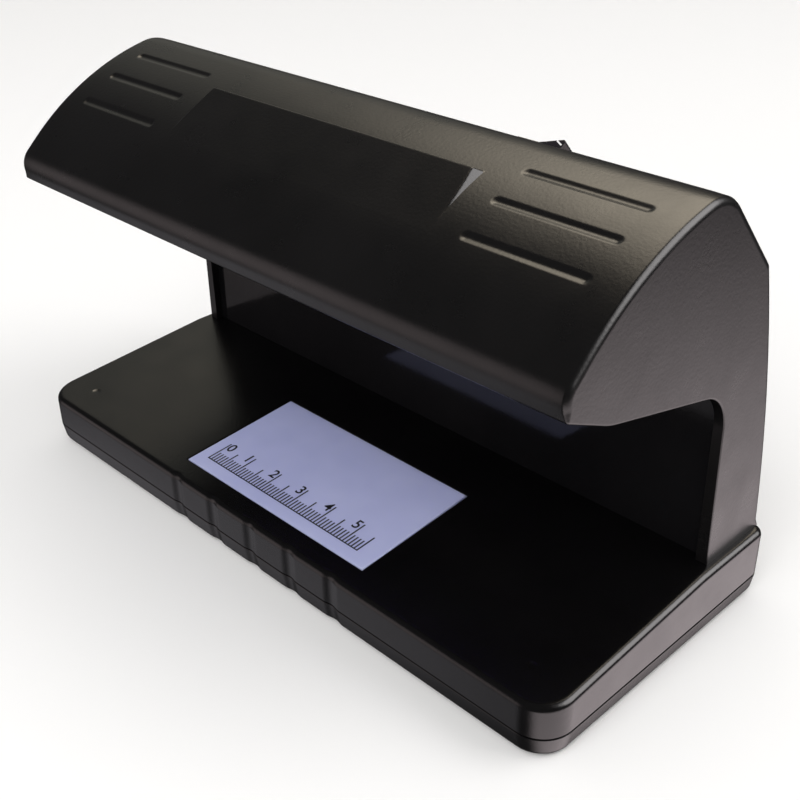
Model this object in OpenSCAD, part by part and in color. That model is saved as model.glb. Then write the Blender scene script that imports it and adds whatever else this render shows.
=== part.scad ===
// Bench-top banknote checker: a shallow base with a backlit ruler window and a hooded ultraviolet lamp.
// Millimetres, +Z up, front towards -Y. Origin: centre of the footprint, on the surface it stands on.

/* [Base] */
// Width of the base
base_w = 180; // [176:1:190]
// Depth of the base
base_d = 77.7; // [77:0.1:79]
// Height of the bottom cover's rim above its underside
cover_h = 4.9; // [4.5:0.1:5.2]
// Height of the deck at its front edge, above the underside
deck_front_h = 13.25; // [13:0.05:14]
// Height of the level ledge that carries the column
ledge_h = 17.1; // [16.7:0.1:17.4]
// Radius of the two front corners
front_r = 8; // [6:0.5:10]
// Radius of the two back corners
back_r = 3; // [2.5:0.5:4]
// Wall thickness of the base shells
base_wall = 2.4; // [2.2:0.1:2.6]
// How far the feet stand out below the base
foot_out = 0.8; // [0.6:0.1:1]
// Number of flutes in the front face
flute_count = 5; // [3:2:7]
// Distance between flutes
flute_pitch = 14.2; // [13:0.1:15]
// Radius of each flute's round bottom
flute_r = 1.9; // [1.5:0.1:2.5]
// Depth of each flute
flute_depth = 0.5; // [0.3:0.1:0.8]

/* [Window] */
// Width of the lit window
window_w = 64.3; // [60:0.1:66]
// Depth of the lit window along the deck
window_d = 34.4; // [32:0.1:35]
// Distance from the deck's front edge to the window
window_front = 6.6; // [6:0.1:8]

/* [Hood] */
// Width of the hood and its column
hood_w = 175.6; // [174.8:0.2:176]
// Thickness of the hood's front and top
hood_wall = 2.2; // [2:0.1:2.4]
// Thickness of the side cheeks
cheek = 2.9; // [2.7:0.1:3]
// Radius along the cheeks' outer edges
edge_r = 1.5; // [1:0.1:1.8]
// Length of each groove in the hood's top
groove_l = 30; // [26:1:32]
// Width of the raised plaque
plaque_w = 84; // [80:1:86]

/* [Lamp] */
// Diameter of the ultraviolet tube
tube_d = 16; // [15.5:0.1:16.5]
// Length of the tube between the faces of its end caps
tube_l = 135.9; // [135:0.1:136.5]
// Distance between the two pins of a cap
pin_pitch = 4.75; // [4.6:0.05:4.8]

/* [Switch] */
// Length of the switch frame across the hood
frame_w = 15; // [14.5:0.5:16]
// Width of the switch frame down the rear slope
frame_d = 10.5; // [10:0.5:11]
// Position of the switch across the hood
switch_x = 37.5; // [20:0.5:40]
// Angle of the rocker at rest
rocker_tilt = 10; // [8:1:11]

/* [Hidden] */
$fn = 48;
gap = 0.15;                // clearance between shells that slide together
shell = "#1c1b1c";
steel = "#9a9da1";

// Deck: a gentle slope from the front edge up to the level ledge
ledge_y = 14;
deck_slope = atan((ledge_h - deck_front_h) / (ledge_y + base_d / 2));
deck_t = 2.4;
top_r = 1.5;
seam = 0.2;
tongue_h = 1.5;

// Screws into the base: short ones at the front, long ones up into the column
screw_x = 78.5;
front_screw_y = -30;
back_screw_y = 29.5;
screw_r = 1.4;
pilot_r = screw_r + 0.02;
wire_slot = [80, 10, 12];
wire_slot_at = [-55, 23.5, 10];
small_r = 1.1;
small_pilot_r = small_r + 0.02;
small_head_h = 1.2;
head_r = 2.9;
head_h = 1.6;
boss_r = 3.4;
floor_t = 2;
foot_x = 71;
foot_y = [-27.5, 13.5];
foot_r = 5;
foot_pocket = 0.8;

// Hood outline in the side view, each corner as [y, z, radius]
lip_y = -34.9;
lip_z = 75.6;
nose = [-36.1, 80.7];
shoulder = [-16.2, 99.2];
crest = [10.2, 104.5];
rear_top = [28.1, 84.1];
nose_r = 5.5;
shoulder_r = 72;
crest_r = 11;
rear_top_r = 2;
rear_foot = [base_d / 2, 0];
foot_front_y = 17.6;
rear_bow = 2.9;
inner_w = hood_w - 2 * cheek;
foot_z = ledge_h + 0.1;
bow_steps = 12;
rear_opening_y = 27.3;
rear_opening_top = 80.5;

// Grooves and plaque on the hood's top
groove_x = 63.8;
groove_y = [-2.4, -11.2, -19.7];
plaque_low_y = -20.5;
plaque_reach = 15;
plaque_bevel = 1.6;

// Screws inside the hood
reflector_screw_x = 64;
cover_screw_x = 81;
cover_screw_y = -14;

// Screws that hold the rear cover
rear_screw_x = 74;
rear_screw_z = [26, 72];

// Bay cut through both cheeks, in the side view
bay = [[-60, 8, 0], [-60, 88, 0], [lip_y - 2.6, 76.9, 0], [lip_y, lip_z, 0], [-22.4, 69.7, 18],
    [foot_front_y - 0.3, 59.5, 10.5], [foot_front_y, ledge_h, 0], [foot_front_y, 8, 0]];

// Rear slope that carries the switch
slope_a = atan2(crest[1] - rear_top[1], rear_top[0] - crest[0]);
switch_y = 18;
switch_z = crest[1] - (switch_y - crest[0]) * tan(slope_a);

// Lamp
lamp_y = -9;
lamp_z = 80.5;
pin_r = 1.15;
pin_l = 7.1;
cap_l = 9;
holder_l = 9;
holder_w = 14;
holder_top = 11.5;
holder_low = 7.2;
socket_r = 4.2;
plate_t = 0.6;
plate_z = lamp_z + holder_top;

// Window stack under the deck
panel_t = 2;
flange = 2;
flange_t = 1;
box_h = 5.2;
box_wall = 1.2;

// Ballast board on the back of the bay panel
bay_back_y = 19.6;
panel_back_t = 2;
board_y = bay_back_y + panel_back_t + 2;
board_t = 1.6;
board_w = 84;
board_h = 32;
board_x = -14;
board_z = 22;
board_hole_x = [-36, 36];
board_hole_z = [5, board_h - 5];

// Switch
frame_lip = 1.4;
frame_body = [12.8, 9.2, 10.5];
rocker_l = 12;
rocker_d = 7.6;
rocker_pin_r = 0.9;
pivot_drop = 1.2;

// Cord entry in the base's back wall
grommet_x = -62;
grommet_z = 10.6;
grommet_bore_r = 2.6;
grommet_neck_r = 3.8;
grommet_flange_r = 4.9;
grommet_flange_t = 1.2;

function unit(v) = v / norm(v);
function left_of(v) = unit([-v[1], v[0]]);
// Outline with each corner [x, y, radius] rounded by an arc
function corner_arc(a, q, b, r, n) =
    let (u = unit(a - q), w = unit(b - q), half = acos(u * w) / 2, c = q + unit(u + w) * r / sin(half))
    [for (i = [0 : n]) c + r * unit((q + u * r / tan(half) - c) * (n - i) + (q + w * r / tan(half) - c) * i)];
function flat(p) = [p[0], p[1]];
function rounded(p, n = 6) = [for (i = [0 : len(p) - 1])
    let (a = flat(p[(i + len(p) - 1) % len(p)]), q = flat(p[i]), b = flat(p[(i + 1) % len(p)]))
    each (p[i][2] == 0 ? [q] : corner_arc(a, q, b, p[i][2], n))];
// Closed outline moved inwards by d, for an outline that runs anticlockwise
function shrink(p, d) = [for (i = [0 : len(p) - 1])
    let (a = p[(i + len(p) - 1) % len(p)], q = p[i], b = p[(i + 1) % len(p)], m = left_of(q - a),
        n = left_of(b - q))
    q + (m + n) * d / (1 + m * n)];
// Points between a and b on a shallow arc that stands out by s on the right
function bowed(a, b, s) = [for (i = [1 : bow_steps - 1])
    let (t = i / bow_steps) a + (b - a) * t - left_of(b - a) * 4 * s * t * (1 - t)];

// The hood's outline, anticlockwise: lip, foot, rear wall, crest and nose. The lip edge moves down by drop
function hood_outline(drop) =
    let (lip = [lip_y, lip_z] + unit([lip_y, lip_z] - nose) * drop,
        line = rounded([[lip[0], lip[1], 0], [foot_front_y, 0, 0], [rear_foot[0], rear_foot[1], 0],
            [rear_top[0], rear_top[1], rear_top_r], [crest[0], crest[1], crest_r],
            [shoulder[0], shoulder[1], shoulder_r], [nose[0], nose[1], nose_r]], 8))
    concat([for (i = [0 : 2]) line[i]], bowed(line[2], line[3], rear_bow),
        [for (i = [3 : len(line) - 1]) line[i]]);
// Height of the hood's top at y, and the rear wall's y at height z
function top_z(y) = lookup(y, [for (p = hood_outline(0)) if (p[1] > 84 && p[0] < crest[0]) p]);
function rear_y(z) =
    lookup(z, [for (p = hood_outline(0)) if (p[1] < rear_top[1] && p[0] > foot_front_y) [p[1], p[0]]]);

module on_feet() { translate([0, 0, foot_out]) children(); }
module along_x(w) { translate([-w / 2, 0, 0]) rotate([90, 0, 90]) linear_extrude(w) children(); }
module both_sides(x) { for (s = [-1, 1]) translate([s * x, 0, 0]) children(); }
module on_deck() { translate([0, -base_d / 2, deck_front_h]) rotate([deck_slope, 0, 0]) children(); }
module on_slope() { translate([switch_x, switch_y, switch_z]) rotate([-slope_a, 0, 0]) children(); }
module rod_x(r, l) { translate([-l / 2, 0, 0]) rotate([0, 90, 0]) cylinder(r = r, h = l); }
module rod_y(r, l) { rotate([-90, 0, 0]) cylinder(r = r, h = l); }

// Footprint of the base, moved inwards by inset
module plan(inset) {
    x = base_w / 2 - inset;
    y = base_d / 2 - inset;
    polygon(rounded([[-x, -y, front_r - inset], [x, -y, front_r - inset], [x, y, max(back_r - inset, 0.4)],
        [-x, y, max(back_r - inset, 0.4)]], 8));
}

module plan_slab(inset, z, h) { translate([0, 0, z]) linear_extrude(h) plan(inset); }

// Thin slice of the footprint laid on the deck's slope, and the level slice behind it
module deck_slice(inset, drop) {
    rise = (ledge_h - deck_front_h) / (ledge_y + base_d / 2);
    multmatrix([[1, 0, 0, 0], [0, 1, 0, 0], [0, rise, 1, ledge_h - drop - rise * ledge_y], [0, 0, 0, 1]])
        linear_extrude(0.01) intersection() {
            plan(inset);
            translate([-base_w, ledge_y - base_d]) square([2 * base_w, base_d]);
        }
    translate([0, 0, ledge_h - drop]) linear_extrude(0.01) intersection() {
        plan(inset);
        translate([-base_w, ledge_y]) square([2 * base_w, base_d]);
    }
}

module deck_body() {
    steps = 5;
    hull() {
        plan_slab(0, cover_h + seam, 1);
        for (i = [0 : steps]) deck_slice(top_r * (1 - cos(90 * i / steps)), top_r * (1 - sin(90 * i / steps)));
    }
}

// Space below the deck, bounded by a plane parallel to it
module deck_space(inset, t) {
    x = base_w - 2 * inset;
    intersection() {
        plan_slab(inset, 0, ledge_h);
        along_x(x) polygon([[-base_d, -1], [base_d, -1], [base_d, ledge_h - t], [ledge_y, ledge_h - t],
            [-base_d / 2, deck_front_h - t], [-base_d, deck_front_h - t]]);
    }
}

module flutes() {
    half = (flute_count - 1) / 2;
    for (i = [-half : half])
        translate([i * flute_pitch, -base_d / 2 - flute_r + flute_depth, -1]) cylinder(r = flute_r, h = 30);
}

module base_screw_places() {
    for (y = [front_screw_y, back_screw_y]) both_sides(screw_x) translate([0, y, 0]) children();
}

module foot_places() {
    for (y = foot_y) both_sides(foot_x) translate([0, y, 0]) children();
}

module base_deck() {
    color(shell) on_feet() difference() {
        union() {
            difference() {
                deck_body();
                deck_space(base_wall, deck_t);
            }
            intersection() {
                base_screw_places() translate([0, 0, floor_t + 0.1]) cylinder(r = boss_r, h = 20);
                deck_space(1, 1);
            }
            intersection() {
                light_box_posts();
                deck_space(1, 1);
            }
            intersection() {
                translate([grommet_x - 7, base_d / 2 - 5, cover_h + seam]) cube([14, 5 - base_wall / 2, 20]);
                deck_space(1, 1);
            }
        }
        flutes();
        on_deck() translate([-window_w / 2 - 0.1, window_front - 0.1, -9])
            cube([window_w + 0.2, window_d + 0.2, 12]);
        on_deck() translate([-window_w / 2 - flange - 0.1, window_front - flange - 0.1, -panel_t - 9])
            cube([window_w + 2 * flange + 0.2, window_d + 2 * flange + 0.2, 9 + flange_t]);
        base_screw_places() translate([0, 0, -1]) cylinder(r = pilot_r, h = 12.5);
        both_sides(screw_x) translate([0, back_screw_y, -1]) cylinder(r = screw_r + 0.2, h = 20);
        translate(wire_slot_at) cube(wire_slot);
        translate([grommet_x, base_d / 2 - 8, grommet_z]) rod_y(grommet_neck_r, 12);
        translate([grommet_x, base_d / 2 - grommet_flange_t - 0.1, grommet_z]) rod_y(grommet_flange_r + 0.2, 3);
    }
}

module base_cover() {
    color(shell) on_feet() difference() {
        union() {
            difference() {
                hull() {
                    plan_slab(1.5, 0, 0.01);
                    plan_slab(0.9, 0.35, 0.01);
                    plan_slab(0.6, 1.1, 0.01);
                    plan_slab(0, cover_h - 0.01, 0.01);
                }
                plan_slab(base_wall + 0.1, floor_t, 10);
            }
            difference() {
                plan_slab(base_wall + 0.1, floor_t - 0.2, cover_h + tongue_h - floor_t);
                plan_slab(base_wall + 1.2, floor_t - 1, 20);
                translate([grommet_x - 8, base_d / 2 - 8, floor_t]) cube([16, 10, 10]);
            }
        }
        flutes();
        base_screw_places() {
            translate([0, 0, -1]) cylinder(r = screw_r + 0.2, h = 10);
            translate([0, 0, -1]) cylinder(r = head_r + 0.2, h = 1 + head_h - 0.8);
        }
        foot_places() translate([0, 0, -1]) cylinder(r = foot_r + 0.1, h = 1 + foot_pocket);
    }
}

module rubber_feet() {
    color("#2b2b2c") foot_places() cylinder(r = foot_r, h = foot_out + foot_pocket);
}

// Pan-head screw that points up, its head's underside at z
module screw_up(l) {
    cylinder(r = screw_r, h = l);
    difference() {
        translate([0, 0, -head_h + 0.7]) cylinder(r = head_r, h = head_h - 0.7);
        for (a = [0, 90]) rotate(a) translate([-1.6, -0.35, -head_h]) cube([3.2, 0.7, head_h - 0.3]);
    }
}

module small_screw(l) {
    cylinder(r = small_r, h = l);
    difference() {
        translate([0, 0, -small_head_h]) cylinder(r = 2.1, h = small_head_h);
        for (a = [0, 90]) rotate(a) translate([-1.2, -0.3, -1.3]) cube([2.4, 0.6, 0.9]);
    }
}

module base_screws() {
    color(steel) on_feet() translate([0, 0, head_h - 0.8]) {
        both_sides(screw_x) translate([0, front_screw_y, 0]) screw_up(9);
        both_sides(screw_x) translate([0, back_screw_y, 0]) screw_up(24);
    }
}

module window_panel() {
    color("#b9bde0") on_feet() on_deck() {
        translate([-window_w / 2, window_front, -panel_t]) cube([window_w, window_d, panel_t]);
        translate([-window_w / 2 - flange, window_front - flange, -panel_t - 0.01])
            cube([window_w + 2 * flange, window_d + 2 * flange, flange_t]);
    }
}

module window_gasket() {
    color("#202020") on_feet() on_deck() difference() {
        translate([-window_w / 2 - flange, window_front - flange, -panel_t - 0.51])
            cube([window_w + 2 * flange, window_d + 2 * flange, 0.5]);
        translate([-window_w / 2, window_front, -panel_t - 1]) cube([window_w, window_d, 2]);
    }
}

// Screw ears of the light box, in the deck's plane
module ear_places() {
    for (y = [window_front + 2, window_front + window_d - 2]) both_sides(window_w / 2 + flange + 3.4)
        translate([0, y, 0]) children();
}

module light_box() {
    w = window_w + 2 * flange;
    d = window_d + 2 * flange;
    color("#e6e6e2") on_feet() on_deck() translate([0, 0, -panel_t - 0.52 - box_h]) difference() {
        union() {
            translate([-w / 2, window_front - flange, 0]) cube([w, d, box_h]);
            hull() ear_places() cylinder(r = 2.6, h = 1.4);
        }
        translate([-w / 2 + box_wall, window_front - flange + box_wall, box_wall])
            cube([w - 2 * box_wall, d - 2 * box_wall, box_h]);
        ear_places() translate([0, 0, -1]) cylinder(r = 1.3, h = 4);
        translate([-4, window_front + window_d - 1, 2.6]) cube([8, 6, 1.4]);
    }
}

module light_box_posts() {
    on_deck() ear_places() difference() {
        translate([0, 0, -panel_t - 0.52 - box_h + 1.4]) cylinder(r = 2.6, h = box_h + 0.9);
        translate([0, 0, -panel_t - 0.52 - box_h]) cylinder(r = small_pilot_r, h = box_h);
    }
}

module light_box_screws() {
    color(steel) on_feet() on_deck() ear_places() translate([0, 0, -panel_t - 0.52 - box_h]) small_screw(4.5);
}

module led_board() {
    color("#e9e9e4") on_feet() on_deck() translate([-30, window_front + 2.2, -panel_t - 0.52 - box_h + box_wall])
        cube([60, window_d - 4.4, 1.2]);
}

module led_lamps() {
    color("#f4e9a8") on_feet() on_deck() for (i = [-3 : 3], j = [0 : 2])
        translate([i * 8 - 1.4, window_front + 6 + j * 9.5, -panel_t - 0.52 - box_h + box_wall + 1.2])
            cube([2.8, 3.5, 1.1]);
}

// Convex body of the hood before the bay is cut, with rounded side edges
module hood_body() {
    steps = 4;
    line = hood_outline(0);
    hull() for (i = [0 : steps]) {
        inset = edge_r * (1 - sin(90 * i / steps));
        along_x(hood_w - 2 * edge_r * (1 - cos(90 * i / steps))) polygon(shrink(line, inset));
    }
}

module hood_space(t) { polygon(shrink(hood_outline(14), t)); }

// Round-bottomed groove across the hood's top at y
module groove(y) { translate([0, y, top_z(y) + 0.4]) rod_x(1.3, groove_l); }

// Raised plaque: a plane that rises out of the hood's curve and ends in a bevel at its upper edge
module plaque() {
    start = [plaque_low_y, top_z(plaque_low_y)];
    rise = unit([2, top_z(plaque_low_y + 1) - top_z(plaque_low_y - 1)]);
    out = [-rise[1], rise[0]];
    low = start - rise * 3 - out * 0.6;
    top = start + rise * plaque_reach + out * 0.1;
    foot = top + rise * plaque_bevel - out * 2.2;
    hull() {
        along_x(plaque_w) polygon([low - out, foot, low]);
        along_x(plaque_w - 2 * plaque_bevel) polygon([low - out, top, low]);
    }
}

module switch_cutout() {
    w = frame_body[0] + 0.2;
    d = frame_body[1] + 0.2;
    translate([-w / 2, -d / 2, -14]) cube([w, d, 20]);
}

module rear_screw_places(back) {
    for (z = rear_screw_z) both_sides(rear_screw_x) translate([0, rear_y(z) - back, z]) children();
}

module hood_bosses() {
    both_sides(screw_x) translate([0, back_screw_y, ledge_h]) cylinder(r = 4, h = 16);
    both_sides(screw_x + 4) translate([-2.6, back_screw_y - 1.5, ledge_h]) cube([5.2, 3, 16]);
    rear_screw_places(10.5) rod_y(2.8, 7.6);
    for (z = rear_screw_z) both_sides(rear_screw_x + 5.5) translate([-5.6, rear_y(z) - 10.5, z - 1])
        cube([11.2, 5, 2]);
    both_sides(reflector_screw_x) translate([0, lamp_y, plate_z + plate_t]) cylinder(r = 2.8, h = 6);
    both_sides(cover_screw_x) translate([0, cover_screw_y, 74.5]) cylinder(r = 2.6, h = 12);
    both_sides(cover_screw_x + 3) translate([-2.6, cover_screw_y - 1, 74.5]) cube([4.7, 2, 12]);
}

module hood_pilots() {
    both_sides(screw_x) translate([0, back_screw_y, 10]) cylinder(r = pilot_r, h = 20);
    rear_screw_places(9) rod_y(small_pilot_r, 20);
    both_sides(reflector_screw_x) translate([0, lamp_y, plate_z - 1]) cylinder(r = small_pilot_r, h = 5.5);
    both_sides(cover_screw_x) translate([0, cover_screw_y, 70]) cylinder(r = small_pilot_r, h = 11);
}

module hood_shell() {
    color(shell) on_feet() difference() {
        union() {
            difference() {
                hood_body();
                along_x(inner_w) hood_space(hood_wall);
                translate([-inner_w / 2, rear_opening_y, 0]) cube([inner_w, 20, rear_opening_top]);
            }
            hood_bosses();
            plaque();
        }
        along_x(2 * base_w) polygon(rounded(bay, 8));
        translate([-base_w, -base_d, -40]) cube([2 * base_w, 2 * base_d, 40 + ledge_h]);
        both_sides(groove_x) for (y = groove_y) groove(y);
        on_slope() switch_cutout();
        hood_pilots();
    }
}

module rear_cover() {
    w = inner_w - 2 * gap;
    color(shell) on_feet() difference() {
        intersection() {
            along_x(w) difference() {
                polygon(hood_outline(0));
                polygon(shrink(hood_outline(0), 2));
            }
            translate([-base_w, rear_opening_y + gap, foot_z])
                cube([2 * base_w, 20, rear_opening_top - gap - foot_z]);
        }
        rear_screw_places(10) rod_y(small_r + 0.2, 30);
        rear_screw_places(1.5) rod_y(2.4, 20);
        for (i = [-4 : 4]) translate([i * 9 - 1.1, 20, 40]) cube([2.2, 30, 18]);
    }
}

module rear_cover_screws() {
    color(steel) on_feet() rear_screw_places(1.5) rotate([90, 0, 0]) small_screw(6);
}

module bay_back_panel() {
    w = inner_w - 2 * gap;
    color(shell) on_feet() {
        along_x(w) polygon(rounded([[bay_back_y, foot_z, 0], [bay_back_y + panel_back_t, foot_z, 0],
            [bay_back_y + panel_back_t, 63.2, 8.5], [13.2, 65.4, 0], [12.8, 63.4, 0], [bay_back_y, 61.5, 6.5]], 8));
        board_screw_places(bay_back_y + panel_back_t - 0.5) difference() {
            rod_y(2.4, 2.5);
            rod_y(small_pilot_r, 4);
        }
    }
}

module lamp_cover() {
    w = inner_w - 2 * gap;
    t = 1.8;
    color(shell) on_feet() difference() {
        along_x(w) polygon([[-30.9, 77.5], [-21, 72.2], [12.5, 63.5], [12.8, 63.5 + t], [-20.6, 72.2 + t],
            [-30.4, 77.5 + t]]);
        translate([-66, -19, 60]) cube([132, 21, 30]);
        both_sides(cover_screw_x) translate([0, cover_screw_y, 60]) cylinder(r = small_r + 0.1, h = 30);
    }
}

module lamp_cover_screws() {
    color(steel) on_feet() both_sides(cover_screw_x) translate([0, cover_screw_y, 69.7]) small_screw(8);
}

// Flared side of the reflector, down to the height low
module reflector_wing(side, low) {
    plate_top = plate_z + plate_t;
    along_x(132) polygon([[lamp_y + side * 6.5, plate_z], [lamp_y + side * 6.5, plate_top],
        [lamp_y + side * 6.9, plate_top], [lamp_y + side * 12, low], [lamp_y + side * 11.4, low - 0.2],
        [lamp_y + side * 6.49, plate_z]]);
}

module reflector() {
    color("#c9ccd0") on_feet() difference() {
        union() {
            translate([-80, lamp_y - 6.5, plate_z]) cube([160, 13, plate_t]);
            reflector_wing(-1, 76.2);
            reflector_wing(1, 73.6);
        }
        both_sides(reflector_screw_x) translate([0, lamp_y, plate_z - 1]) cylinder(r = small_r + 0.1, h = 3);
        both_sides(tube_l / 2 + 0.3 + holder_l / 2) translate([0, lamp_y, plate_z - 1]) cylinder(r = 1.2, h = 3);
    }
}

module reflector_screws() {
    color(steel) on_feet() both_sides(reflector_screw_x) translate([0, lamp_y, plate_z]) small_screw(3.6);
}

// Two-pin rotary holder: a blind round socket and a slot that lets the pins in from below
module lamp_holder() {
    translate([tube_l / 2 + 0.3, lamp_y, lamp_z]) difference() {
        translate([0, -holder_w / 2, -holder_low]) cube([holder_l, holder_w, holder_low + holder_top - 0.02]);
        translate([-1, 0, 0]) rotate([0, 90, 0]) cylinder(r = socket_r, h = 1 + 7.6);
        translate([-1, -1.35, -holder_low - 1]) cube([1 + 7.6, 2.7, holder_low + 1]);
        translate([holder_l / 2, 0, holder_top - 6]) cylinder(r = small_pilot_r, h = 8);
    }
}

module lamp_holder_right() { color("#ecebe6") on_feet() lamp_holder(); }
module lamp_holder_left() { color("#ecebe6") on_feet() mirror([1, 0, 0]) lamp_holder(); }

module lamp_holder_screws() {
    color(steel) on_feet() both_sides(tube_l / 2 + 0.3 + holder_l / 2)
        translate([0, lamp_y, plate_z + plate_t]) mirror([0, 0, 1]) small_screw(4);
}

module uv_tube() {
    color("#5b4f9a") on_feet() translate([0, lamp_y, lamp_z]) difference() {
        rod_x(tube_d / 2 - 0.3, tube_l - 2 * cap_l + 6);
        rod_x(tube_d / 2 - 1.3, tube_l - 2 * cap_l + 4);
    }
}

module tube_end_caps() {
    color("#c4c6c8") on_feet() translate([0, lamp_y, lamp_z]) difference() {
        both_sides(tube_l / 2 - cap_l / 2) rod_x(tube_d / 2, cap_l);
        rod_x(tube_d / 2 - 0.28, tube_l - 2 * cap_l + 6.2);
    }
}

module tube_pins() {
    color("#c9b370") on_feet() both_sides(tube_l / 2 + pin_l / 2) for (s = [-1, 1])
        translate([0, lamp_y + s * pin_pitch / 2, lamp_z]) rod_x(pin_r, pin_l);
}

module board_screw_places(y) {
    for (x = board_hole_x, z = board_hole_z) translate([board_x + x, y, board_z + z]) children();
}

module ballast_board() {
    color("#2f6b3c") on_feet() difference() {
        translate([board_x - board_w / 2, board_y, board_z]) cube([board_w, board_t, board_h]);
        board_screw_places(board_y - 1) rod_y(1.2, 5);
    }
}

module ballast_screws() {
    color(steel) on_feet() board_screw_places(board_y + board_t) rotate([90, 0, 0]) small_screw(3.4);
}

module transformer() {
    color("#3a3532") on_feet() translate([board_x - 14, board_y + board_t, board_z + 4]) {
        cube([14, 2, 12]);
        translate([0, 2, 0]) cube([3, 5, 12]);
        translate([11, 2, 0]) cube([3, 5, 12]);
        translate([3.3, 2, 1]) cube([7.4, 4.6, 10]);
    }
}

module capacitors() {
    color("#20304a") on_feet() translate([board_x, board_y + board_t, board_z]) {
        for (x = [8, 18]) translate([x, 0, 9]) rod_y(4, 7);
        for (x = [-27, -20]) translate([x - 2.5, 0, 22]) cube([5, 5, 7]);
        translate([2, 0, 21]) cube([10, 4.5, 5]);
    }
}

module ballast_terminals() {
    color("#2e7d4f") on_feet() translate([board_x, board_y + board_t, board_z]) {
        translate([25.5, 0, 12]) cube([6, 5, 8]);
        translate([-41, 0, 12]) cube([6, 5, 8]);
    }
}

// Switch frame: a rim on the slope, a snap-in body, and two side walls that hold the rocker's pin
module switch_frame() {
    color("#262526") on_feet() on_slope() difference() {
        union() {
            hull() {
                translate([-frame_w / 2, -frame_d / 2, 0]) cube([frame_w, frame_d, 0.6]);
                translate([-frame_w / 2 + 0.6, -frame_d / 2 + 0.6, 0]) cube([frame_w - 1.2, frame_d - 1.2, frame_lip]);
            }
            translate([-frame_body[0] / 2, -frame_body[1] / 2, -frame_body[2]])
                cube([frame_body[0], frame_body[1], frame_body[2] + 0.1]);
        }
        translate([-frame_body[0] / 2 + 0.5, -rocker_d / 2 - gap, -6])
            cube([frame_body[0] - 1, rocker_d + 2 * gap, 12]);
        translate([-frame_w / 2 + 0.65, -rocker_d / 2 - gap, 0.02]) cube([frame_w - 1.3, rocker_d + 2 * gap, 12]);
        translate([0, -frame_d, -pivot_drop]) rod_y(rocker_pin_r, 2 * frame_d);
    }
}

module switch_rocker() {
    half = rocker_l / 2;
    color("#181818") on_feet() on_slope() translate([0, 0, -pivot_drop]) rotate([0, -rocker_tilt, 0]) difference() {
        translate([0, rocker_d / 2, 0]) rotate([90, 0, 0]) linear_extrude(rocker_d)
            polygon([[-half, 3.9], [-half + 1.2, 0.6], [-2, -2.6], [2, -2.6], [half - 1.2, 0.6], [half, 3.9],
                [half - 0.3, 4.5], [0, 3.5], [-half + 0.3, 4.5]]);
        translate([0, -rocker_d, 0]) rod_y(rocker_pin_r + 0.04, 2 * rocker_d);
    }
}

module rocker_pin() {
    color(steel) on_feet() on_slope() translate([0, -frame_body[1] / 2 + 0.05, -pivot_drop])
        rod_y(rocker_pin_r - 0.01, frame_body[1] - 0.1);
}

module switch_terminals() {
    color("#c8b273") on_feet() on_slope() for (x = [-3.5, 3.5])
        translate([x - 0.4, -2.4, -frame_body[2] - 6]) cube([0.8, 4.8, 6]);
}

module cord_grommet() {
    color("#222222") on_feet() translate([grommet_x, 0, grommet_z]) difference() {
        union() {
            translate([0, base_d / 2 - grommet_flange_t - 0.1, 0]) rod_y(grommet_flange_r, grommet_flange_t);
            translate([0, base_d / 2 - 6.6, 0]) rod_y(grommet_neck_r - 0.02, 6);
        }
        translate([0, base_d / 2 - 10, 0]) rod_y(grommet_bore_r, 20);
    }
}

base_deck();
base_cover();
rubber_feet();
base_screws();
window_panel();
window_gasket();
light_box();
light_box_screws();
led_board();
led_lamps();
hood_shell();
rear_cover();
rear_cover_screws();
bay_back_panel();
lamp_cover();
lamp_cover_screws();
reflector();
reflector_screws();
lamp_holder_left();
lamp_holder_right();
lamp_holder_screws();
uv_tube();
tube_end_caps();
tube_pins();
ballast_board();
ballast_screws();
transformer();
capacitors();
ballast_terminals();
switch_frame();
switch_rocker();
rocker_pin();
switch_terminals();
cord_grommet();
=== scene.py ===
"""Looks of a bench-top banknote checker, built round its CAD frame. Metres, +Z up, front towards -Y."""
import math

import bmesh
import bpy
from mathutils import Matrix, Vector


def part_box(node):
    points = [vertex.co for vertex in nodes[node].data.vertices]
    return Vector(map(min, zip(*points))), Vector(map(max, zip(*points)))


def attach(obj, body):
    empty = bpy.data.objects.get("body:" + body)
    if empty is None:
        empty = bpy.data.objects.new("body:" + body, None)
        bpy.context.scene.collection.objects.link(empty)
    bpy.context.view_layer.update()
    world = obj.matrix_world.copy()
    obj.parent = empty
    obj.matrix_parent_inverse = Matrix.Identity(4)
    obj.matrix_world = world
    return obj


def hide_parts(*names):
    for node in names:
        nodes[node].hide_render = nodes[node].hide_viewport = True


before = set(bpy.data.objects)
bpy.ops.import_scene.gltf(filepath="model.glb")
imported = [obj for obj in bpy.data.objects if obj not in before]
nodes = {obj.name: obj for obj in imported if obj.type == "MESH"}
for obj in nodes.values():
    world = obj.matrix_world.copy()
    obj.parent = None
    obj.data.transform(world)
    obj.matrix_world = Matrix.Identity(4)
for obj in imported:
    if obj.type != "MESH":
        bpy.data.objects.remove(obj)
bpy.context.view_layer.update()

MM = 0.001

# ---------------------------------------------------------------- camera
CAMERA_AT = Vector((186.41, -170.99, 179.58)) * MM
CAMERA_AZIMUTH = math.radians(45.551)
CAMERA_ELEVATION = math.radians(30.453)
CAMERA_ROLL = math.radians(-0.969)
LENS_MM = 53.48
SENSOR_MM = 36.0


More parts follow.
